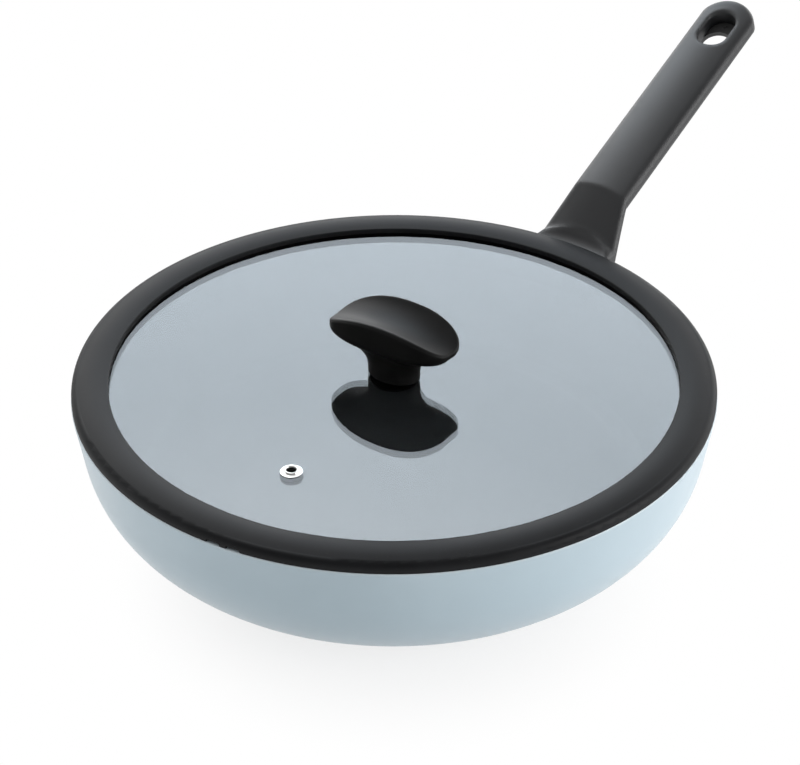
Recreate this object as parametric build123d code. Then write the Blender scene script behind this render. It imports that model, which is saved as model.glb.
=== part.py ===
from build123d import *
import math
import os

# Saute pan with a flat glass lid. Millimetres, +Z up.
# The origin is the centre of the base and the handle points along +X.

# Pan bowl
pan_radius = 147.4
pan_height = 62.8
wall_thickness = 3.2
floor_thickness = 4.7
lining_thickness = 0.3
wall_lean_deg = 9.1
corner_radius = 51.8
corner_dip = 4.5
outer_toe_radius = 15.0
inner_toe_radius = 13.0
lip_round = 0.9

# Induction disc in the underside
disc_margin = 14.1
disc_thickness = 0.9
disc_clearance = 0.1
disc_hole_radius = 2.6
disc_ring_step = 26.0
disc_hole_pitch = 20.0
disc_edge_margin = 18.0

# Lid glass and its silicone ring
glass_thickness = 4.0
glass_grip = 7.9
glass_edge_clearance = 0.2
ring_reach = 0.4
ring_width = 16.9
ring_skirt = 2.2
ring_inner_rise = 2.3
ring_crown_rise = 0.9
ring_crown_share = 0.45
ring_shoulder = 3.2
ring_plug_depth = 6.6
ring_plug_clearance = 1.1
ring_edge_round = 0.6
notch_width = 6.5
notch_height = 1.3
notch_pitch = 9.8
notch_azimuth_deg = 187.5

# Steam vent
vent_azimuth_deg = 186.7
vent_distance = 89.2
vent_bore_radius = 2.2
vent_tube_wall = 0.8
vent_glass_clearance = 0.2
vent_flange_radius = 4.9
vent_flange_thickness = 0.5
vent_bead_width = 1.2
vent_bead_height = 1.3
vent_gasket_thickness = 0.8
vent_gasket_radius = 5.2
vent_ring_thickness = 0.6
vent_ring_radius = 4.6
vent_flare_width = 0.7
vent_flare_thickness = 0.4
vent_fit = 0.05

# Lid knob: an oval plate with a trough along it, on a narrow oval neck
knob_azimuth_deg = -87.0
knob_half_length = 31.6
knob_half_width = 15.0
knob_neck_half_length = 12.9
knob_neck_half_width = 9.2
knob_end_height = 21.5
knob_side_height = 32.8
knob_trough_depth = 5.2
knob_flare_height = 20.0
knob_edge_round = 1.4
knob_oval_power = 3.0
knob_outline_points = 24
# How far up the flare each section lies, and how far it has opened from neck to plate
flare_height_shares = (0.0, 0.25, 0.45, 0.625, 0.775, 0.9, 1.0)
flare_length_shares = (0.0, 0.016, 0.1, 0.28, 0.61, 0.935, 1.0)
flare_width_shares = (0.0, 0.017, 0.12, 0.27, 0.56, 0.915, 1.0)

# Knob fastening
screw_radius = 2.4
screw_fit = 0.05
screw_head_radius = 4.6
screw_head_height = 2.6
screw_slot_width = 1.1
screw_slot_depth = 1.3
screw_grip = 10.0
insert_wall = 1.7
insert_length = 13.0
insert_collar = 0.8
insert_collar_height = 1.6
knob_gasket_thickness = 0.6
knob_gasket_inset = 0.4
lower_gasket_thickness = 1.0
lower_gasket_radius = 11.0
knob_washer_thickness = 1.0
knob_washer_radius = 9.0
screw_hole_clearance = 1.0
washer_clearance = 0.3

# Handle: side view
foot_shelf = 9.1
foot_rise = 5.9
foot_depth_at_wall = 31.0
foot_depth_at_shelf = 22.0
foot_sunk_start = 9.0
foot_wall_clearance = 0.3
foot_lid_clearance = 1.0
foot_cove_sag = 1.5
facet_length = 25.2
facet_rise_deg = 43.3
grip_rise_deg = 22.8
grip_length = 118.3
grip_depth = 12.6
tip_reach = 21.5

# Handle: cross sections and tip
crown_radius = 45.0
wall_top_half = 19.0
wall_low_half = 14.0
shelf_top_half = 17.8
shelf_low_half = 13.5
foot_bulge = 8.0
grip_half_chord = 12.2
grip_bulge = 4.9
tip_half_length = 14.0
tip_half_width = 15.9
tip_edge_round = 2.6

# Hanging hole and the insert that lines its far end
hang_length = 24.4
hang_width = 15.6
hang_edge_round = 0.9
hang_insert_border = 1.6
hang_insert_depth = 8.8
hang_insert_thickness = 2.6
hang_insert_fit = 0.1
hang_ledge = 7.2
hang_dimple_radius = 1.3
hang_dimple_depth = 0.5

# Handle core
skin_thickness = 2.2
core_end_margin = 5.0
core_wall_gap = 3.0

# Handle bracket on the wall, its arm and its tang in the grip
pad_half_width = 10.0
pad_height = 11.0
pad_drop = 1.8
pad_depth = 5.1
pad_sunk = 6.0
arm_foot_margin = 2.0
tang_half_width = 6.0
tang_thickness = 4.0
tang_cover = 3.2
tang_length = 20.0
bracket_fit = 0.15

# Handle screw, from below
handle_screw_place = 11.0
handle_screw_radius = 2.0
handle_screw_fit = 0.05
handle_screw_hole_clearance = 0.4
handle_screw_head_radius = 3.8
handle_screw_head_height = 2.0
handle_screw_slot_width = 1.0
handle_screw_slot_depth = 0.9
handle_seat_web = 1.4
handle_washer_thickness = 0.6
handle_washer_radius = 4.3
handle_recess_clearance = 0.3

# One overrun serves every cut
overrun = 5.0

os.makedirs("parts", exist_ok=True)

lean = math.radians(wall_lean_deg)
glass_top = pan_height + ring_skirt
glass_bottom = glass_top - glass_thickness
ring_outer = pan_radius - ring_reach
ring_inner = ring_outer - ring_width
glass_radius = ring_inner + glass_grip


def polar(radius, angle_deg):
    """Point at a distance and azimuth about the pan's axis."""
    angle = math.radians(angle_deg)
    return radius * math.cos(angle), radius * math.sin(angle)


def bowl_line(inset, floor_height, toe_radius):
    """Points of the bowl's profile, set in from the outer wall by inset, from the floor to the lip."""
    centre_height = corner_radius - corner_dip
    corner_height = centre_height - corner_radius * math.sin(lean)
    tangent_radius = pan_radius - (pan_height - corner_height) * math.tan(lean)
    centre_radius = tangent_radius - corner_radius * math.cos(lean)
    big = corner_radius - inset
    drop = math.asin((centre_height - floor_height - toe_radius) / (big - toe_radius))
    toe_centre = centre_radius + (big - toe_radius) * math.cos(drop)
    toe_mid = (math.pi / 2 + drop) / 2

    def on_big(angle):
        return centre_radius + big * math.cos(angle), centre_height - big * math.sin(angle)

    def on_toe(angle):
        return toe_centre + toe_radius * math.cos(angle), floor_height + toe_radius * (1 - math.sin(angle))

    lip = (pan_radius - inset / math.cos(lean), pan_height)
    return {
        "floor": (toe_centre, floor_height),
        "toe_mid": on_toe(toe_mid),
        "toe_end": on_big(drop),
        "corner_mid": on_big((drop + lean) / 2),
        "corner_end": on_big(lean),
        "lip": lip,
    }


def bowl_edges(points):
    """Lines and arcs along a bowl profile, inside a BuildLine."""
    Line((0, points["floor"][1]), points["floor"])
    ThreePointArc(points["floor"], points["toe_mid"], points["toe_end"])
    ThreePointArc(points["toe_end"], points["corner_mid"], points["corner_end"])
    Line(points["corner_end"], points["lip"])


def bowl_skin(outer, inner):
    """Solid of revolution between two bowl profiles."""
    with BuildPart() as bowl:
        with BuildSketch(Plane.XZ):
            with BuildLine():
                bowl_edges(outer)
                Line(outer["lip"], inner["lip"])
                bowl_edges(inner)
                Line((0, inner["floor"][1]), (0, outer["floor"][1]))
            make_face()
        revolve(axis=Axis.Z)
    return bowl.part


def bowl_block(points):
    """Everything inside a bowl profile, up to the height of the lip."""
    with BuildPart() as block:
        with BuildSketch(Plane.XZ):
            with BuildLine():
                bowl_edges(points)
                Line(points["lip"], (0, pan_height))
                Line((0, pan_height), (0, points["floor"][1]))
            make_face()
        revolve(axis=Axis.Z)
    return block.part


def washer(outer, inner, bottom, thickness, centre=(0, 0)):
    """Flat ring standing on a height."""
    with BuildPart() as ring:
        with BuildSketch(Plane.XY.offset(bottom)):
            with Locations(centre):
                Circle(outer)
                Circle(inner, mode=Mode.SUBTRACT)
        extrude(amount=thickness)
    return ring.part


def cylinder(radius, bottom, height, centre=(0, 0)):
    """Upright cylinder standing on a height."""
    return Pos(*centre, bottom) * Cylinder(radius, height, align=(Align.CENTER, Align.CENTER, Align.MIN))


outer_line = bowl_line(0, 0, outer_toe_radius)
shell_inner_line = bowl_line(wall_thickness, floor_thickness, inner_toe_radius)
lining_inner_line = bowl_line(
    wall_thickness + lining_thickness, floor_thickness + lining_thickness, inner_toe_radius - lining_thickness)


disc_radius = outer_line["floor"][0] - disc_margin


def pan_shell():
    """Forged shell with a rounded outer lip and a recess for the induction disc."""
    shell = bowl_skin(outer_line, shell_inner_line)
    lip_edge = shell.edges().filter_by(GeomType.CIRCLE).sort_by(lambda edge: edge.radius)[-1]
    shell = fillet([lip_edge], lip_round)
    return shell - cylinder(disc_radius + disc_clearance, 0, disc_thickness)


def pan_lining():
    """Non-stick lining over the whole inside."""
    return bowl_skin(shell_inner_line, lining_inner_line)


def base_disc():
    """Induction disc with rings of round holes."""
    with BuildPart() as disc:
        with BuildSketch():
            Circle(disc_radius)
            ring_count = int((disc_radius - disc_edge_margin) // disc_ring_step)
            for ring in range(ring_count):
                radius = disc_radius - disc_edge_margin - ring * disc_ring_step
                count = int(2 * math.pi * radius // disc_hole_pitch)
                with PolarLocations(radius, count):
                    Circle(disc_hole_radius, mode=Mode.SUBTRACT)
        extrude(amount=disc_thickness)
    return disc.part


def glass_disc():
    """Flat tempered glass with a screw hole and a vent hole."""
    with BuildPart() as glass:
        with BuildSketch(Plane.XY.offset(glass_bottom)):
            Circle(glass_radius)
            Circle(screw_radius + screw_hole_clearance, mode=Mode.SUBTRACT)
            with Locations(polar(vent_distance, vent_azimuth_deg)):
                Circle(vent_tube_outer + vent_glass_clearance, mode=Mode.SUBTRACT)
        extrude(amount=glass_thickness)
    return glass.part


def ring_section():
    """Section of the silicone ring: groove for the glass, crowned top, seat on the lip and plug."""
    top_inner = glass_top + ring_inner_rise
    crown_at = ring_inner + ring_width * ring_crown_share
    shoulder_start = ring_outer - ring_shoulder
    shoulder_end = glass_top + ring_inner_rise - ring_shoulder
    shoulder_mid = (ring_outer - ring_shoulder * (1 - math.sqrt(0.5)),
                    top_inner - ring_shoulder * (1 - math.sqrt(0.5)))
    plug_top = lining_inner_line["lip"][0] - ring_plug_clearance
    plug_bottom_height = pan_height - ring_plug_depth
    plug_bottom = plug_top - ring_plug_depth * math.tan(lean)
    groove = glass_radius + glass_edge_clearance
    with BuildSketch() as section:
        with BuildLine():
            Polyline(
                (groove, glass_bottom), (groove, glass_top), (ring_inner, glass_top),
                (ring_inner, top_inner))
            ThreePointArc((ring_inner, top_inner), (crown_at, top_inner + ring_crown_rise),
                          (shoulder_start, top_inner))
            ThreePointArc((shoulder_start, top_inner), shoulder_mid, (ring_outer, shoulder_end))
            Polyline(
                (ring_outer, shoulder_end), (ring_outer, pan_height), (plug_top, pan_height),
                (plug_bottom, plug_bottom_height), (ring_inner, plug_bottom_height),
                (ring_inner, glass_bottom), (groove, glass_bottom))
        make_face()
        corners = section.vertices().filter_by(
            lambda v: abs(v.Y - plug_bottom_height) < ring_edge_round
            or (abs(v.X - ring_inner) < ring_edge_round and v.Y > glass_top + ring_edge_round))
        fillet(corners, ring_edge_round)
    return section.sketch


def silicone_ring():
    """Silicone ring with two steam notches in the underside of its flange."""
    with BuildPart() as ring:
        with BuildSketch(Plane.XZ):
            add(ring_section())
        revolve(axis=Axis.Z)
        flange = ring_outer - (lining_inner_line["lip"][0] - ring_plug_clearance)
        notch_step = math.degrees(notch_pitch / ring_outer)
        for side in (-1, 1):
            angle = notch_azimuth_deg + side * notch_step / 2
            notch_at = Rot(0, 0, angle) * Pos(ring_outer - flange, 0, pan_height)
            with Locations(notch_at):
                Box(flange + overrun, notch_width, notch_height,
                    align=(Align.MIN, Align.CENTER, Align.MIN), mode=Mode.SUBTRACT)
    return ring.part


vent_tube_outer = vent_bore_radius + vent_tube_wall
vent_at = polar(vent_distance, vent_azimuth_deg)
vent_ring_bottom = glass_bottom - vent_gasket_thickness - vent_ring_thickness


def vent_eyelet():
    """Eyelet with a top flange, a rolled bead round its mouth and a flared lower end."""
    bead_outer = vent_bore_radius + vent_bead_width
    flare_bottom = vent_ring_bottom - vent_flare_thickness
    flange_top = glass_top + vent_flange_thickness
    bead_round = vent_bead_width / 2
    with BuildPart() as eyelet:
        with BuildSketch(Plane.XZ):
            with BuildLine():
                Polyline(
                    (vent_bore_radius, flare_bottom),
                    (vent_tube_outer + vent_flare_width, flare_bottom),
                    (vent_tube_outer + vent_flare_width, vent_ring_bottom),
                    (vent_tube_outer, vent_ring_bottom),
                    (vent_tube_outer, glass_top),
                    (vent_flange_radius, glass_top),
                    (vent_flange_radius, glass_top + vent_flange_thickness / 2),
                    (bead_outer, flange_top),
                    (bead_outer, glass_top + vent_bead_height - bead_round))
                ThreePointArc(
                    (bead_outer, glass_top + vent_bead_height - bead_round),
                    (bead_outer - bead_round, glass_top + vent_bead_height),
                    (vent_bore_radius, glass_top + vent_bead_height - bead_round))
                Line((vent_bore_radius, glass_top + vent_bead_height - bead_round),
                     (vent_bore_radius, flare_bottom))
            make_face()
        revolve(axis=Axis.Z)
    return Pos(*vent_at, 0) * eyelet.part


def superellipse(half_length, half_width, power):
    """Closed squarish oval: power 2 is an ellipse, more is squarer."""
    points = []
    for index in range(knob_outline_points):
        turn = 2 * math.pi * index / knob_outline_points
        cosine = math.cos(turn)
        sine = math.sin(turn)
        along = half_length * math.copysign(abs(cosine) ** (2 / power), cosine)
        across = half_width * math.copysign(abs(sine) ** (2 / power), sine)
        points.append((along, across))
    return Spline(*points, periodic=True)


def knob_section(height, half_length, half_width, power):
    """Level section of the knob."""
    with BuildSketch(Plane.XY.offset(height)) as sketch:
        with BuildLine():
            superellipse(half_length, half_width, power)
        make_face()
    return sketch.sketch


def saddle():
    """Block above the knob's saddle: the long sides stand high in the middle and the ends dip."""
    half_length = knob_half_length + overrun
    half_width = knob_half_width + overrun
    middle = knob_side_height - knob_trough_depth
    bend = (middle - knob_end_height) / knob_half_length ** 2
    scoop = knob_trough_depth / knob_half_width ** 2
    station_shares = (-1, -0.5, 0, 0.5, 1)
    sections = []
    for share in station_shares:
        along = share * half_length
        bottom = middle - bend * along ** 2
        side = bottom + scoop * half_width ** 2
        roof = bottom + knob_side_height
        with BuildSketch(Plane(origin=(along, 0, 0), x_dir=(0, 1, 0), z_dir=(1, 0, 0))) as sketch:
            with BuildLine():
                ThreePointArc((-half_width, side), (0, bottom), (half_width, side))
                Polyline((half_width, side), (half_width, roof), (-half_width, roof), (-half_width, side))
            make_face()
        sections.append(sketch.sketch)
    return loft(sections)


def knob_blank():
    """Knob without its insert's seat: neck and flare lofted through ovals, top cut by the saddle."""
    sections = []
    shares = zip(flare_height_shares, flare_length_shares, flare_width_shares)
    for height_share, length_share, width_share in shares:
        half_length = knob_neck_half_length + length_share * (knob_half_length - knob_neck_half_length)
        half_width = knob_neck_half_width + width_share * (knob_half_width - knob_neck_half_width)
        power = 2 + length_share * (knob_oval_power - 2)
        sections.append(knob_section(height_share * knob_flare_height, half_length, half_width, power))
    flare = loft(sections)
    plate = extrude(sections[-1], amount=knob_side_height - knob_flare_height + overrun)
    solid = (flare + plate) - saddle()
    rim = solid.edges().filter_by(lambda e: e.center().Z > knob_flare_height + knob_edge_round)
    return fillet(rim, knob_edge_round)


knob_base = glass_top + knob_gasket_thickness
knob_place = Pos(0, 0, knob_base) * Rot(0, 0, knob_azimuth_deg)
washer_bottom = glass_bottom - lower_gasket_thickness - knob_washer_thickness
insert_bore = screw_radius + screw_fit
insert_outer = insert_bore + insert_wall


def insert_block():
    """Outside of the threaded insert, with its collar."""
    stem = cylinder(insert_outer, knob_base, insert_length)
    collar = cylinder(insert_outer + insert_collar, knob_base, insert_collar_height)
    return stem + collar


def knob():
    """Dished oval knob with a seat for its threaded insert."""
    return knob_place * knob_blank() - insert_block()


def knob_insert():
    """Threaded insert moulded into the knob's neck."""
    return insert_block() - cylinder(insert_bore, knob_base, insert_length)


def knob_screw():
    """Screw from below the glass into the insert, with a cross recess in its head."""
    head = cylinder(screw_head_radius, washer_bottom - screw_head_height, screw_head_height)
    shank = cylinder(screw_radius, washer_bottom, knob_base + screw_grip - washer_bottom)
    return head + shank - cross_slot(screw_head_radius, screw_slot_width, screw_slot_depth,
                                     washer_bottom - screw_head_height)


def cross_slot(head_radius, width, depth, bottom):
    """Cross recess cut up into the underside of a screw head."""
    align = (Align.CENTER, Align.CENTER, Align.MIN)
    bar = Box(head_radius, width, depth, align=align)
    return Pos(0, 0, bottom) * (bar + Rot(0, 0, 90) * bar)


def knob_gasket_upper():
    """Oval seal between knob and glass."""
    with BuildPart() as gasket:
        with BuildSketch(Plane.XY):
            Ellipse(knob_neck_half_length - knob_gasket_inset, knob_neck_half_width - knob_gasket_inset)
            Circle(screw_radius + screw_hole_clearance, mode=Mode.SUBTRACT)
        extrude(amount=knob_gasket_thickness)
    return Pos(0, 0, glass_top) * Rot(0, 0, knob_azimuth_deg) * gasket.part


def knob_gasket_lower():
    """Round seal below the glass."""
    return washer(lower_gasket_radius, screw_radius + screw_hole_clearance,
                  glass_bottom - lower_gasket_thickness, lower_gasket_thickness)


def knob_washer():
    """Steel washer that spreads the screw's pull."""
    return washer(knob_washer_radius, screw_radius + washer_clearance, washer_bottom, knob_washer_thickness)


def vent_gasket():
    """Seal between the vent's ring and the glass."""
    return washer(vent_gasket_radius, vent_tube_outer + vent_fit, glass_bottom - vent_gasket_thickness,
                  vent_gasket_thickness, vent_at)


def vent_ring():
    """Ring that the eyelet's lower end is flared over."""
    return washer(vent_ring_radius, vent_tube_outer + vent_fit, vent_ring_bottom, vent_ring_thickness, vent_at)


shelf_x = pan_radius + foot_shelf
shelf_top = pan_height + foot_rise
facet = math.radians(facet_rise_deg)
rise = math.radians(grip_rise_deg)
kink_x = shelf_x + facet_length * math.cos(facet)
kink_top = shelf_top + facet_length * math.sin(facet)
grip_axis = Vector(math.cos(rise), 0, math.sin(rise))
# Grip frame: X along the grip from the kink, Y across it, Z square to its top
grip_plane = Plane(origin=(kink_x, 0, kink_top), x_dir=grip_axis, z_dir=(-math.sin(rise), 0, math.cos(rise)))
hole_start = grip_length - hang_length / 2
hole_end = grip_length + hang_length / 2


def handle_section(plane, top, depth, top_half, low_half, bulge, inset):
    """Handle section: crowned top and underside joined by rounded sides, set in by inset."""
    radius = crown_radius - inset
    high = top - inset
    low = top - depth + inset
    high_half = top_half - inset / 2
    under_half = low_half - inset / 2
    high_fall = radius - math.sqrt(radius ** 2 - high_half ** 2)
    low_fall = radius - math.sqrt(radius ** 2 - under_half ** 2)
    reach = bulge - inset
    with BuildSketch(plane) as sketch:
        with BuildLine():
            crown = ThreePointArc((-high_half, high - high_fall), (0, high), (high_half, high - high_fall))
            under = ThreePointArc((under_half, low + low_fall), (0, low), (-under_half, low + low_fall))
            right_out = crown @ 1 + (crown % 1) * reach
            right_back = under @ 0 - (under % 0) * reach
            Bezier(crown @ 1, right_out, right_back, under @ 0)
            left_out = under @ 1 + (under % 1) * reach
            left_back = crown @ 0 - (crown % 0) * reach
            Bezier(under @ 1, left_out, left_back, crown @ 0)
        make_face()
    return sketch.sketch


def upright(x_place):
    """Plane square to +X at a distance from the pan's axis, seen from the handle's tip."""
    return Plane(origin=(x_place, 0, 0), x_dir=(0, 1, 0), z_dir=(1, 0, 0))


def handle_body(inset, reach):
    """Foot and grip as one solid, set in from the outside by inset, the grip as long as reach."""
    back = facet_length
    square = Plane(origin=grip_plane.from_local_coords((-back, 0, 0)), x_dir=(0, 1, 0), z_dir=grip_axis)
    grip_face = handle_section(
        square, 0, grip_depth, grip_half_chord, grip_half_chord, grip_bulge, inset)
    grip = split(extrude(grip_face, amount=back + reach), bisect_by=upright(kink_x), keep=Keep.TOP)
    kink_face = grip.faces().sort_by(Axis.X)[0]
    wall_face = handle_section(
        upright(pan_radius - foot_sunk_start), shelf_top, foot_depth_at_wall,
        wall_top_half, wall_low_half, foot_bulge, inset)
    shelf_face = handle_section(
        upright(shelf_x), shelf_top, foot_depth_at_shelf,
        shelf_top_half, shelf_low_half, foot_bulge, inset)
    foot = loft([wall_face, shelf_face, kink_face], ruled=True)
    return foot + grip


def tip_outline():
    """Plan outline of the grip's rounded tip, as a tall block square to the grip."""
    tip = grip_length + tip_reach
    with BuildPart() as block:
        with BuildSketch(grip_plane.offset(-pan_radius)):
            with Locations((tip - tip_half_length, 0)):
                Rectangle(2 * pan_radius, pan_radius, align=(Align.MAX, Align.CENTER))
                Ellipse(tip_half_length, tip_half_width)
        extrude(amount=2 * pan_radius)
    return block.part


def in_grip(solid, along, height, across=0):
    """Solid moved into the grip's frame."""
    return grip_plane.location * Pos(along, across, height) * solid


def slot_block(start, end, width, bottom, top):
    """Round-ended slot through the grip, between two heights in its frame."""
    with BuildPart() as block:
        with BuildSketch():
            SlotOverall(end - start, width)
        extrude(amount=top - bottom)
    return in_grip(block.part, (start + end) / 2, bottom)


def pan_keep_out(grow):
    """Room for the bowl and the lifting lid, ending in a cove up to the facet, grown by a gap."""
    gap = foot_wall_clearance + grow
    start = (ring_outer + foot_lid_clearance + grow, pan_height - grow)
    end = (shelf_x + grow, shelf_top - grow)
    span = math.hypot(end[0] - start[0], end[1] - start[1])
    middle = ((start[0] + end[0]) / 2 + foot_cove_sag * (end[1] - start[1]) / span,
              (start[1] + end[1]) / 2 - foot_cove_sag * (end[0] - start[0]) / span)
    roof = shelf_top + pan_radius
    with BuildPart() as lid_room:
        with BuildSketch(Plane.XZ):
            with BuildLine():
                Line((0, start[1]), start)
                ThreePointArc(start, middle, end)
                Polyline(end, (end[0], roof), (0, roof), (0, start[1]))
            make_face()
        revolve(axis=Axis.Z)
    return bowl_block(bowl_line(-gap, -gap, outer_toe_radius)) + lid_room.part


def recess_block(radius):
    """Recess for the screw's head, from its seat down through the grip's underside."""
    seat = -tang_cover - tang_thickness - handle_seat_web
    depth = grip_depth + overrun + seat
    disc = Cylinder(radius, depth, align=(Align.CENTER, Align.CENTER, Align.MAX))
    return in_grip(disc, handle_screw_place, seat)


def handle_skin():
    """Soft-touch moulding: rounded tip, hanging hole, recess for the insert and room for the core."""
    outside = handle_body(0, grip_length + tip_reach + overrun) & tip_outline()
    tip_edges = outside.edges().filter_by(
        lambda e: grip_plane.to_local_coords(e.center()).X > grip_length + tip_reach - tip_half_length)
    outside = fillet(tip_edges, tip_edge_round)
    hole = slot_block(hole_start, hole_end, hang_width, -grip_depth - overrun, overrun)
    outside -= hole
    mouth = outside.edges().filter_by(is_hole_mouth)
    outside = fillet(mouth, hang_edge_round)
    fit = hang_insert_border + hang_insert_fit
    recess = slot_block(hole_start - fit, hole_end + fit, hang_width + 2 * fit,
                        -grip_depth - overrun, -hang_insert_depth)
    outside -= recess
    outside -= core_block()
    outside -= pan_keep_out(0)
    outside -= bracket_block(bracket_fit)
    return outside - recess_block(handle_washer_radius + handle_recess_clearance)


def is_hole_mouth(edge):
    """True for the edges of the hanging hole's upper mouth."""
    place = grip_plane.to_local_coords(edge.center())
    inside = abs(place.X - grip_length) < hang_length / 2 + hang_edge_round
    return inside and abs(place.Y) < hang_width / 2 + hang_edge_round and place.Z > -grip_depth / 2


def core_block():
    """Outside of the hard core: the handle's form inside its skin, short of the hanging hole."""
    block = handle_body(skin_thickness, hole_start - core_end_margin)
    return block - pan_keep_out(core_wall_gap)


def handle_core():
    """Hard core with a socket for the bracket and holes for the screw."""
    core = core_block() - bracket_block(bracket_fit)
    core -= recess_block(handle_washer_radius + handle_recess_clearance)
    hole_radius = handle_screw_radius + handle_screw_hole_clearance
    depth = tang_cover + tang_thickness + handle_seat_web
    return core - in_grip(Cylinder(hole_radius, depth), handle_screw_place, -depth)


def bracket_block(grow):
    """Pad, arm and tang of the bracket in side view, each grown by a fit all round."""
    pad_top = pan_height - pad_drop
    pad_bottom = pad_top - pad_height
    pad_face = pan_radius + pad_depth
    tang_high = -tang_cover
    tang_low = tang_high - tang_thickness
    high_start = grip_plane.from_local_coords((0, 0, tang_high + grow))
    low_start = grip_plane.from_local_coords((0, 0, tang_low - grow))
    high_end = grip_plane.from_local_coords((tang_length + grow, 0, tang_high + grow))
    low_end = grip_plane.from_local_coords((tang_length + grow, 0, tang_low - grow))
    with BuildPart() as block:
        with BuildSketch(Plane.XZ):
            with BuildLine():
                Polyline((pan_radius - pad_sunk, pad_bottom - grow), (pad_face + grow, pad_bottom - grow),
                         (pad_face + grow, pad_top + grow), (pan_radius - pad_sunk, pad_top + grow), close=True)
            make_face()
        extrude(amount=pad_half_width + grow, both=True)
        with BuildSketch(Plane.XZ):
            with BuildLine():
                Polyline((pad_face - arm_foot_margin, pad_bottom + arm_foot_margin - grow),
                         (low_start.X, low_start.Z), (low_end.X, low_end.Z), (high_end.X, high_end.Z),
                         (high_start.X, high_start.Z),
                         (pad_face - arm_foot_margin, pad_top - arm_foot_margin + grow), close=True)
            make_face()
        extrude(amount=tang_half_width + grow, both=True)
    return block.part


def handle_bracket():
    """Bracket welded to the wall, tapped for the screw."""
    tapped = Cylinder(handle_screw_radius + handle_screw_fit, 2 * (tang_cover + tang_thickness))
    bracket = bracket_block(0) - in_grip(tapped, handle_screw_place, -tang_cover - tang_thickness)
    return bracket - bowl_block(outer_line)


def handle_washer():
    """Washer under the handle screw's head."""
    seat = -tang_cover - tang_thickness - handle_seat_web
    ring = washer(handle_washer_radius, handle_screw_radius + handle_screw_fit, 0, handle_washer_thickness)
    return in_grip(ring, handle_screw_place, seat - handle_washer_thickness)


def handle_screw():
    """Screw through the core into the bracket's tang, with a cross recess."""
    seat = -tang_cover - tang_thickness - handle_seat_web - handle_washer_thickness
    head = cylinder(handle_screw_head_radius, -handle_screw_head_height, handle_screw_head_height)
    shank = cylinder(handle_screw_radius, 0, -tang_cover - seat)
    slots = cross_slot(handle_screw_head_radius, handle_screw_slot_width, handle_screw_slot_depth,
                       -handle_screw_head_height)
    return in_grip(head + shank - slots, handle_screw_place, seat)


def hang_insert():
    """Insert in the hanging hole's underside: its ledge and dimple show at the far end of the hole."""
    bottom = -hang_insert_depth - hang_insert_thickness
    plate = slot_block(hole_start - hang_insert_border, hole_end + hang_insert_border,
                       hang_width + 2 * hang_insert_border, bottom, -hang_insert_depth)
    plate -= slot_block(hole_start, hole_end - hang_ledge, hang_width, bottom - overrun, overrun)
    dimple = Cylinder(hang_dimple_radius, 2 * hang_dimple_depth)
    return plate - in_grip(dimple, hole_end - hang_ledge / 2, -hang_insert_depth)


nodes = {
    "pan_shell": pan_shell,
    "pan_lining": pan_lining,
    "base_disc": base_disc,
    "handle_bracket": handle_bracket,
    "handle_core": handle_core,
    "handle_skin": handle_skin,
    "hang_insert": hang_insert,
    "handle_screw": handle_screw,
    "handle_washer": handle_washer,
    "glass_disc": glass_disc,
    "silicone_ring": silicone_ring,
    "vent_eyelet": vent_eyelet,
    "vent_gasket": vent_gasket,
    "vent_ring": vent_ring,
    "knob": knob,
    "knob_insert": knob_insert,
    "knob_screw": knob_screw,
    "knob_washer": knob_washer,
    "knob_gasket_lower": knob_gasket_lower,
    "knob_gasket_upper": knob_gasket_upper,
}
for name, make in nodes.items():
    export_step(make(), f"parts/{name}.step")
    print(name)
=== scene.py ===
import math

import bpy
from mathutils import Matrix, Vector

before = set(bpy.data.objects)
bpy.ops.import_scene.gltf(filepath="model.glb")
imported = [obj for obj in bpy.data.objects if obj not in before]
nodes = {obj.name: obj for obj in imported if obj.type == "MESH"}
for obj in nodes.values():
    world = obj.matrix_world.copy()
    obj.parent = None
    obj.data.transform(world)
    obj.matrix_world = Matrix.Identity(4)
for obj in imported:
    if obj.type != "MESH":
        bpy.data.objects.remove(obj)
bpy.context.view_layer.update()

# The photograph looks at the pan from its front left, a little over thirty degrees up.
# Directions and places given as (right, away, up) are as the camera sees them, in metres.
handle_turn = math.radians(53.48)
camera_rise = math.radians(32.9)
camera_tilt = math.radians(0.25)
camera_distance = 1.101
camera_reach = 50.0
sensor_width = 36.0
lens_length = 108.28
lens_shift = (0.0074, -0.0112)

glass_height = 0.065
rim_height = 0.0628
lamp_aim_height = 0.05
floor_size = 12.0


def seen(right, away, up):
    """Point or direction in the pan's frame, from right, away and up as the camera sees them."""
    along = right * math.cos(handle_turn) + away * math.sin(handle_turn)
    across = -right * math.sin(handle_turn) + away * math.cos(handle_turn)
    return Vector((along, across, up))


def add_camera():
    """Camera that frames the pan as the photograph does."""
    data = bpy.data.cameras.new("photo_camera")
    data.sensor_width = sensor_width
    data.lens = lens_length
    data.shift_x, data.shift_y = lens_shift
    data.clip_end = camera_reach
    camera = bpy.data.objects.new("photo_camera", data)
    bpy.context.scene.collection.objects.link(camera)
    back = seen(0.0, -math.cos(camera_rise), math.sin(camera_rise))
    right = seen(1.0, 0.0, 0.0)
    up = back.cross(right)
    right_turned = right * math.cos(camera_tilt) - up * math.sin(camera_tilt)
    up_turned = back.cross(right_turned)
    place = Vector((0.0, 0.0, glass_height)) + back * camera_distance
    turn = Matrix((right_turned, up_turned, back)).transposed().to_4x4()
    camera.matrix_world = Matrix.Translation(place) @ turn
    bpy.context.scene.camera = camera


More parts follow.
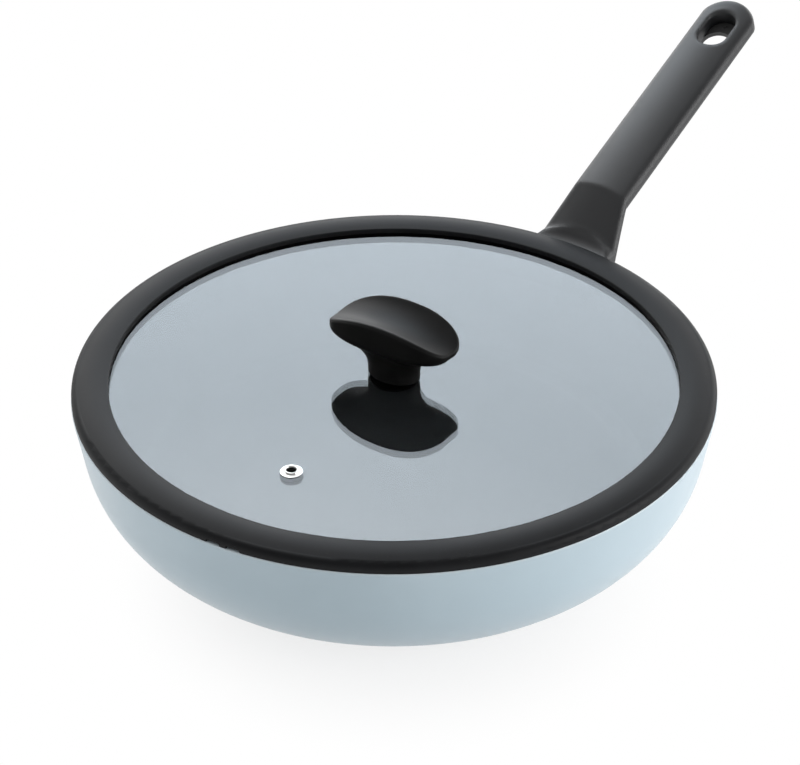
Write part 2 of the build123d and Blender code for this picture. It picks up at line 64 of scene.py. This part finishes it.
class Value:
    """One socket of a finish. Arithmetic on it adds Math nodes."""

    def __init__(self, finish, socket):
        self.finish = finish
        self.socket = socket

    def math(self, operation, *values):
        inputs = dict(enumerate(values))
        return self.finish.node("ShaderNodeMath", {"operation": operation}, inputs)

    def __add__(self, other):
        return self.math("ADD", self, other)

    def __radd__(self, other):
        return self.math("ADD", other, self)

    def __sub__(self, other):
        return self.math("SUBTRACT", self, other)

    def __rsub__(self, other):
        return self.math("SUBTRACT", other, self)

    def __mul__(self, other):
        return self.math("MULTIPLY", self, other)

    def __rmul__(self, other):
        return self.math("MULTIPLY", other, self)

    def __pow__(self, other):
        return self.math("POWER", self, other)

    def capped(self):
        """The value, but 1 at most."""
        return self.math("MINIMUM", self, 1.0)

    def smooth(self, low, high):
        """0 below low, 1 above high, with an eased step between."""
        settings = {"interpolation_type": "SMOOTHSTEP"}
        inputs = {"Value": self, "From Min": low, "From Max": high}
        return self.finish.node("ShaderNodeMapRange", settings, inputs)


class Finish:
    """The nodes of a material, or of the world, under construction."""

    def __init__(self, owner):
        owner.use_nodes = True
        self.owner = owner
        self.tree = owner.node_tree
        self.tree.nodes.clear()

    def node(self, kind, settings=None, inputs=None, output=0):
        """Adds a node: its settings first, then its inputs; returns one of its outputs."""
        made = self.tree.nodes.new(kind)
        for key, value in (settings or {}).items():
            setattr(made, key, value)
        for key, value in (inputs or {}).items():
            if isinstance(value, Value):
                self.tree.links.new(value.socket, made.inputs[key])
            else:
                made.inputs[key].default_value = value
        return Value(self, made.outputs[output]) if made.outputs else None

    def place(self):
        """The surface point, in metres in the pan's frame."""
        return self.node("ShaderNodeTexCoord", output="Object")

    def axes(self, coordinates=None):
        """X, Y and Z of the coordinates, or of the surface point."""
        inputs = {0: coordinates or self.place()}
        return [self.node("ShaderNodeSeparateXYZ", None, inputs, axis) for axis in range(3)]

    def ray(self, name):
        """What the Light Path node says of the ray that meets the surface."""
        return self.node("ShaderNodeLightPath", output=name)

    def toward(self, heading, direction):
        """1 where heading points along direction, 0 across it, -1 against it."""
        inputs = {0: heading, 1: direction}
        return self.node("ShaderNodeVectorMath", {"operation": "DOT_PRODUCT"}, inputs, "Value")

    def noise(self, size, detail=3.0, roughness=0.5, stretch=(1.0, 1.0, 1.0), coordinates=None):
        """Noise whose features are about size metres across."""
        inputs = {"Vector": coordinates or self.place(), "Scale": stretch}
        mapped = self.node("ShaderNodeMapping", None, inputs)
        inputs = {"Vector": mapped, "Scale": 1.0 / size, "Detail": detail, "Roughness": roughness}
        return self.node("ShaderNodeTexNoise", None, inputs)

    def mix(self, factor, first, second):
        """Colour between first and second."""
        inputs = {0: factor, 6: first, 7: second}
        return self.node("ShaderNodeMix", {"data_type": "RGBA"}, inputs, 2)

    def drift(self, pattern, first, second, low=0.3, high=0.7):
        """Colour that wanders from first to second as the pattern goes from low to high."""
        return self.mix(pattern.smooth(low, high), first, second)

    def bump(self, height, distance, normal=None):
        """Normal of a surface that the height raises by up to distance metres."""
        inputs = {"Height": height, "Distance": distance}
        if normal:
            inputs["Normal"] = normal
        return self.node("ShaderNodeBump", None, inputs)

    def surface(self, **inputs):
        """Principled shader from its sockets' names, with _ for each space."""
        named = {key.replace("_", " "): value for key, value in inputs.items()}
        shader = self.node("ShaderNodeBsdfPrincipled", None, named)
        self.output(shader)

    def output(self, shader, kind="ShaderNodeOutputMaterial"):
        self.node(kind, None, {"Surface": shader})


def new_finish(name):
    return Finish(bpy.data.materials.new(name))


def colour(red, green, blue):
    return (red, green, blue, 1.0)


def grey(level):
    return colour(level, level, level)


def enamel():
    """Pale blue satin coating with a fine orange peel, and a painted highlight: a paler band along the
    rolled top edge.
    """
    lip_highlight_start = rim_height - 0.0013
    lip_highlight_end = rim_height - 0.0001
    f = new_finish("pale_blue_coating")
    z = f.axes()[2]
    cloud = f.noise(0.045, 2.0)
    fine = f.noise(0.0011, 2.0)
    speck = f.noise(0.0004, 1.0).smooth(0.62, 0.80)
    painted_lip_highlight = z.smooth(lip_highlight_start, lip_highlight_end)
    tone = f.drift(cloud, colour(0.440, 0.545, 0.605), colour(0.464, 0.570, 0.630))
    tone = f.mix(speck * 0.2, tone, colour(0.41, 0.50, 0.56))
    # Painted highlight: the top 1.3 mm of the shell's edge is mixed towards a pale colour.
    tone = f.mix(painted_lip_highlight * 0.6, tone, colour(0.68, 0.74, 0.77))
    f.surface(
        Base_Color=tone, Roughness=0.34 + 0.08 * f.noise(0.012, 3.0), Specular_IOR_Level=0.5,
        Coat_Weight=0.25, Coat_Roughness=0.22, Normal=f.bump(fine, 0.00002))
    return f.owner


def nonstick():
    """Dark satin non-stick with mineral specks and faint turning marks."""
    f = new_finish("nonstick_coating")
    x, y, z = f.axes()
    radius = (x * x + y * y) ** 0.5
    ring_place = f.node("ShaderNodeCombineXYZ", None, {0: radius, 1: z})
    grain = f.noise(0.0006, 3.0, 0.6)
    rings = f.noise(0.0012, 2.0, 0.5, coordinates=ring_place)
    speck = f.noise(0.0009, 2.0).smooth(0.66, 0.72)
    tone = f.drift(grain, colour(0.0032, 0.0042, 0.0050), colour(0.0054, 0.0066, 0.0076))
    tone = f.mix(speck * 0.2, tone, grey(0.06))
    height = grain * 0.6 + rings * 0.4
    f.surface(
        Base_Color=tone, Roughness=0.52 + 0.06 * grain, Specular_IOR_Level=0.12,
        Normal=f.bump(height, 0.000006))
    return f.owner


def turned_steel(name, level, ring_size):
    """Stainless steel turned on a lathe: fine rings about the pan's axis."""
    f = new_finish(name)
    x, y = f.axes()[:2]
    radius = (x * x + y * y) ** 0.5
    ring_place = f.node("ShaderNodeCombineXYZ", None, {0: radius})
    rings = f.noise(ring_size, 4.0, 0.65, coordinates=ring_place)
    stain = f.noise(0.03, 3.0)
    stained = colour(level * 0.9, level * 0.89, level * 0.86)
    tone = f.drift(stain, grey(level), stained, high=0.75)
    f.surface(
        Base_Color=tone, Metallic=1.0, Roughness=0.24 + 0.2 * rings,
        Normal=f.bump(rings, 0.00002))
    return f.owner


def polished_steel():
    """Polished stainless steel with fine random scratches."""
    f = new_finish("polished_stainless")
    scratch = f.noise(0.0005, 4.0, 0.7, stretch=(1.0, 6.0, 1.0))
    smear = f.noise(0.004, 2.0)
    tone = f.drift(smear, grey(0.66), colour(0.72, 0.72, 0.70))
    f.surface(
        Base_Color=tone, Metallic=1.0, Roughness=0.14 + 0.12 * scratch,
        Normal=f.bump(scratch, 0.000008))
    return f.owner


def soft_touch():
    """Dark soft-touch moulding: satin, very fine grain, a little smoother where it is held."""
    crease_radius = 0.0035
    f = new_finish("soft_touch_grip")
    x = f.axes()[0]
    grain = f.noise(0.00035, 2.0)
    cloud = f.noise(0.02, 3.0)
    held = x.smooth(0.19, 0.22) * (1.0 - x.smooth(0.26, 0.29))
    soft = f.node("ShaderNodeBevel", {"samples": 8}, {"Radius": crease_radius})
    tone = f.drift(cloud, colour(0.0095, 0.0100, 0.0112), colour(0.0125, 0.0130, 0.0145))
    f.surface(
        Base_Color=tone, Roughness=0.43 + 0.06 * cloud - 0.03 * held, Specular_IOR_Level=0.62,
        Normal=f.bump(grain, 0.000015, soft))
    return f.owner


def hard_moulding():
    """Hard grey moulding with a fine spark-eroded grain."""
    f = new_finish("hard_grey_moulding")
    grain = f.noise(0.0005, 3.0, 0.6)
    tone = f.drift(grain, grey(0.035), grey(0.05), low=0.35, high=0.65)
    f.surface(Base_Color=tone, Roughness=0.5 + 0.1 * grain, Normal=f.bump(grain, 0.00003))
    return f.owner


def silicone():
    """Matte charcoal silicone with a soft sheen, a fine moulded grain and a little dust."""
    f = new_finish("charcoal_silicone")
    grain = f.noise(0.0004, 3.0, 0.6)
    cloud = f.noise(0.015, 3.0)
    dust = f.noise(0.0011, 2.0).smooth(0.70, 0.78)
    tone = f.drift(cloud, colour(0.0055, 0.0058, 0.0066), colour(0.0075, 0.0079, 0.0090))
    tone = f.mix(dust * 0.06, tone, grey(0.2))
    f.surface(
        Base_Color=tone, Roughness=0.48 + 0.08 * cloud, Specular_IOR_Level=0.16,
        Normal=f.bump(grain, 0.00002))
    return f.owner


def knob_black():
    """Black matte moulding with a faint sheen."""
    f = new_finish("knob_black_moulding")
    grain = f.noise(0.0004, 2.0)
    cloud = f.noise(0.01, 3.0)
    tone = f.drift(cloud, grey(0.0045), grey(0.0065))
    f.surface(
        Base_Color=tone, Roughness=0.40 + 0.06 * cloud, Specular_IOR_Level=0.12,
        Normal=f.bump(grain, 0.00001))
    return f.owner


def clear_glass():
    """Clear tempered glass with the faintest smears."""
    f = new_finish("tempered_glass")
    smear = f.noise(0.03, 3.0)
    tone = f.drift(smear, colour(0.93, 0.96, 0.96), colour(0.95, 0.975, 0.975))
    f.surface(Base_Color=tone, Roughness=0.0, IOR=1.5, Transmission_Weight=1.0)
    return f.owner


def cast_alloy():
    """Cast aluminium, blasted."""
    f = new_finish("cast_alloy")
    grain = f.noise(0.0008, 4.0, 0.6)
    tone = f.drift(grain, grey(0.42), grey(0.5))
    f.surface(Base_Color=tone, Metallic=1.0, Roughness=0.45 + 0.15 * grain, Normal=f.bump(grain, 0.00005))
    return f.owner


def turned_brass():
    """Turned brass of the knob's insert."""
    f = new_finish("turned_brass")
    grain = f.noise(0.0006, 3.0, 0.6, stretch=(1.0, 1.0, 5.0))
    tone = f.drift(grain, colour(0.55, 0.38, 0.14), colour(0.62, 0.44, 0.18))
    f.surface(Base_Color=tone, Metallic=1.0, Roughness=0.28 + 0.15 * grain, Normal=f.bump(grain, 0.00002))
    return f.owner


def dress_nodes():
    """Gives every solid its finish."""
    steel = polished_steel()
    black = silicone()
    hard = hard_moulding()
    finishes = {
        "pan_shell": enamel(), "pan_lining": nonstick(),
        "base_disc": turned_steel("induction_disc_steel", 0.55, 0.0007),
        "handle_bracket": cast_alloy(), "handle_core": hard, "handle_skin": soft_touch(),
        "hang_insert": hard, "handle_screw": steel, "handle_washer": steel,
        "glass_disc": clear_glass(), "silicone_ring": black, "vent_eyelet": steel,
        "vent_ring": steel, "vent_gasket": black, "knob": knob_black(),
        "knob_insert": turned_brass(), "knob_screw": steel, "knob_washer": steel,
        "knob_gasket_lower": black, "knob_gasket_upper": black,
    }
    for name, finish in finishes.items():
        for slot in nodes[name].material_slots:
            slot.material = finish


def area_light(name, place, size, level, tint=(1.0, 1.0, 1.0)):
    """Soft panel facing the pan. Level is how bright its face is, 1 being white."""
    data = bpy.data.lights.new(name, "AREA")
    data.shape = "RECTANGLE"
    data.size, data.size_y = size
    data.energy = level * math.pi * size[0] * size[1]
    data.color = tint
    light = bpy.data.objects.new(name, data)
    bpy.context.scene.collection.objects.link(light)
    spot = seen(*place)
    aim = Vector((0.0, 0.0, lamp_aim_height)) - spot
    light.location = spot
    light.rotation_euler = aim.to_track_quat("-Z", "Y").to_euler()
    light.visible_camera = False


def seen_share(f):
    """1 for what the camera sees, straight, mirrored or through glass; 0 for the light on the pan."""
    mirrored = f.ray("Is Glossy Ray") + f.ray("Is Transmission Ray")
    direct = (mirrored + f.ray("Is Camera Ray")).capped()
    bounced = f.ray("Diffuse Depth").capped()
    return direct * (1.0 - bounced)


def add_world():
    """White studio whose reflections show a bright horizon, a dimmer ceiling and one soft patch."""
    ceiling_dimming = 0.74
    horizon_gain = 3.4
    patch_gain = 1.2
    f = Finish(bpy.data.worlds.new("studio"))
    bounces = f.ray("Glossy Depth") + f.ray("Diffuse Depth")
    straight = 1.0 - bounces.capped()
    heading = f.node("ShaderNodeTexCoord", output="Generated")
    ceiling = f.axes(heading)[2].smooth(0.05, 0.45)
    behind = f.toward(heading, seen(0.45, 0.89, 0.0)).smooth(0.1, 0.9)
    patch = f.toward(heading, seen(-0.06, 0.62, 0.782)).smooth(0.945, 0.985)
    mirrored = 1.0 - ceiling_dimming * ceiling
    mirrored = mirrored + horizon_gain * behind * (1.0 - ceiling)
    mirrored = mirrored + patch_gain * patch
    level = straight + (1.0 - straight) * mirrored
    sky = f.node("ShaderNodeBackground", None, {"Color": colour(0.985, 0.993, 1.0), "Strength": level})
    f.output(sky, "ShaderNodeOutputWorld")
    bpy.context.scene.world = f.owner


def add_floor():
    """Pale floor that keeps the pan's shadow, which fades out from a point under the front, where the
    floor's glow is dimmed as painted shade.
    """
    shadow_middle = seen(0.0, -0.06, 0.0)
    shadow_depth = 0.20
    bpy.ops.object.select_all(action="DESELECT")
    bpy.ops.mesh.primitive_plane_add(size=floor_size, location=(0.0, 0.0, 0.0))
    floor = bpy.context.object
    floor.name = "floor"
    f = new_finish("pale_floor")
    x, y = f.axes()[:2]
    x, y = x - shadow_middle.x, y - shadow_middle.y
    radius = (x * x + y * y) ** 0.5
    # Painted shade: the glow is weaker within about 13 cm of a point under the front, so the floor is a
    # little darker there and the shadow shows.
    painted_shade_glow_share = (1.0 - shadow_depth) + shadow_depth * radius.smooth(0.06, 0.13)
    share = seen_share(f) * painted_shade_glow_share
    matte = f.node("ShaderNodeBsdfDiffuse", None, {"Color": grey(0.92)})
    glow = f.node("ShaderNodeEmission", None, {"Color": grey(1.0), "Strength": 1.0})
    f.output(f.node("ShaderNodeMixShader", None, {0: share, 1: matte, 2: glow}))
    floor.data.materials.append(f.owner)


add_camera()
dress_nodes()
add_world()
add_floor()
area_light("back_panel", place=(0.0, 1.02, 0.76), size=(0.62, 0.56), level=3.1, tint=(0.885, 1.0, 1.11))
area_light("back_left_panel", place=(-0.54, 1.02, 0.80), size=(0.34, 0.5), level=6.0)
area_light("upper_left_panel", place=(-0.33, 0.65, 1.22), size=(0.45, 0.35), level=1.8)
area_light("back_right_panel", place=(0.75, 0.95, 0.85), size=(0.5, 0.5), level=2.4)
area_light("top_panel", place=(-0.15, 0.10, 1.5), size=(0.7, 0.7), level=1.0)
area_light("right_panel", place=(1.25, -0.45, 0.45), size=(0.7, 0.8), level=5.8)
area_light("left_panel", place=(-1.3, 0.1, 0.4), size=(0.6, 0.8), level=1.6)
bpy.context.scene.view_settings.view_transform = "Standard"
